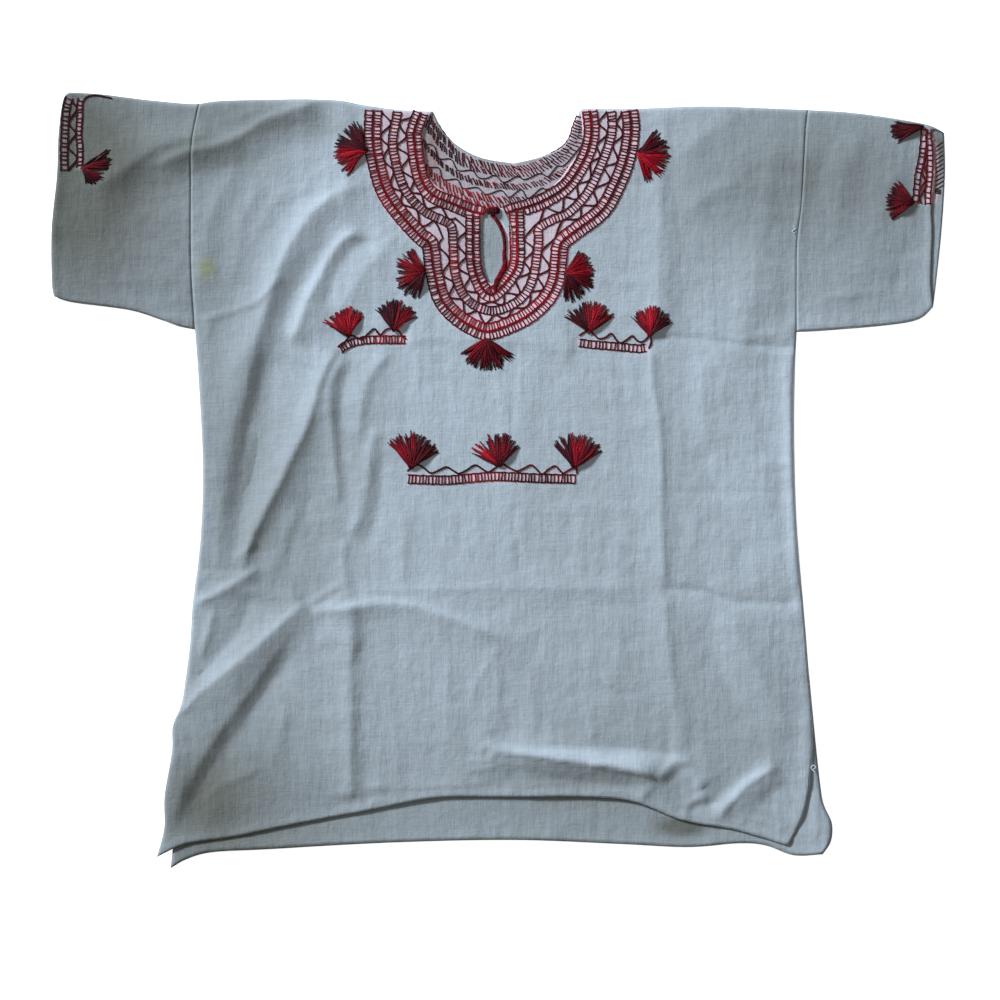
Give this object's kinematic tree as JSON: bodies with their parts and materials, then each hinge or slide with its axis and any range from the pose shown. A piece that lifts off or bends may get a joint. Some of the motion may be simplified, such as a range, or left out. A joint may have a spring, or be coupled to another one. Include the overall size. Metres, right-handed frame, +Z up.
{
  "type": "embroidered cotton blouse laid flat",
  "caption": "Loose short-sleeved cotton blouse laid flat, front up, with a round neck, keyhole slit, embroidered neck band and cuffs, and thread tufts.",
  "frame": {"origin": "on the surface the blouse lies on, below the middle of its outline", "axes": "+X across the blouse, towards its left sleeve as worn; +Y from the hem to the neck; +Z up out of the surface, through the front"},
  "size_m": [0.8497, 0.7382, 0.0131],
  "materials": {
    "cotton": "matt, coarse plain weave, unbleached white with a cool cast, creased",
    "thread": "stranded cotton thread shading from black maroon through dark red to bright red"
  },
  "bodies": {
    "root": {"body_front": "cotton", "body_back": "cotton", "sleeve_left": "cotton", "sleeve_right": "cotton", "keyhole_tie": "thread", "tuft_neck_left_top": "thread", "tuft_neck_right_top": "thread", "tuft_neck_left_mid": "thread", "tuft_neck_right_mid": "thread", "tuft_neck_bottom": "thread", "tuft_chest_left_outer": "thread", "tuft_chest_left_inner": "thread", "tuft_chest_right_inner": "thread", "tuft_chest_right_outer": "thread", "tuft_belly_left": "thread", "tuft_belly_middle": "thread", "tuft_belly_right": "thread", "tuft_cuff_left": "thread", "tuft_cuff_right_top": "thread", "tuft_cuff_right_bottom": "thread"}
  },
  "joints": []
}
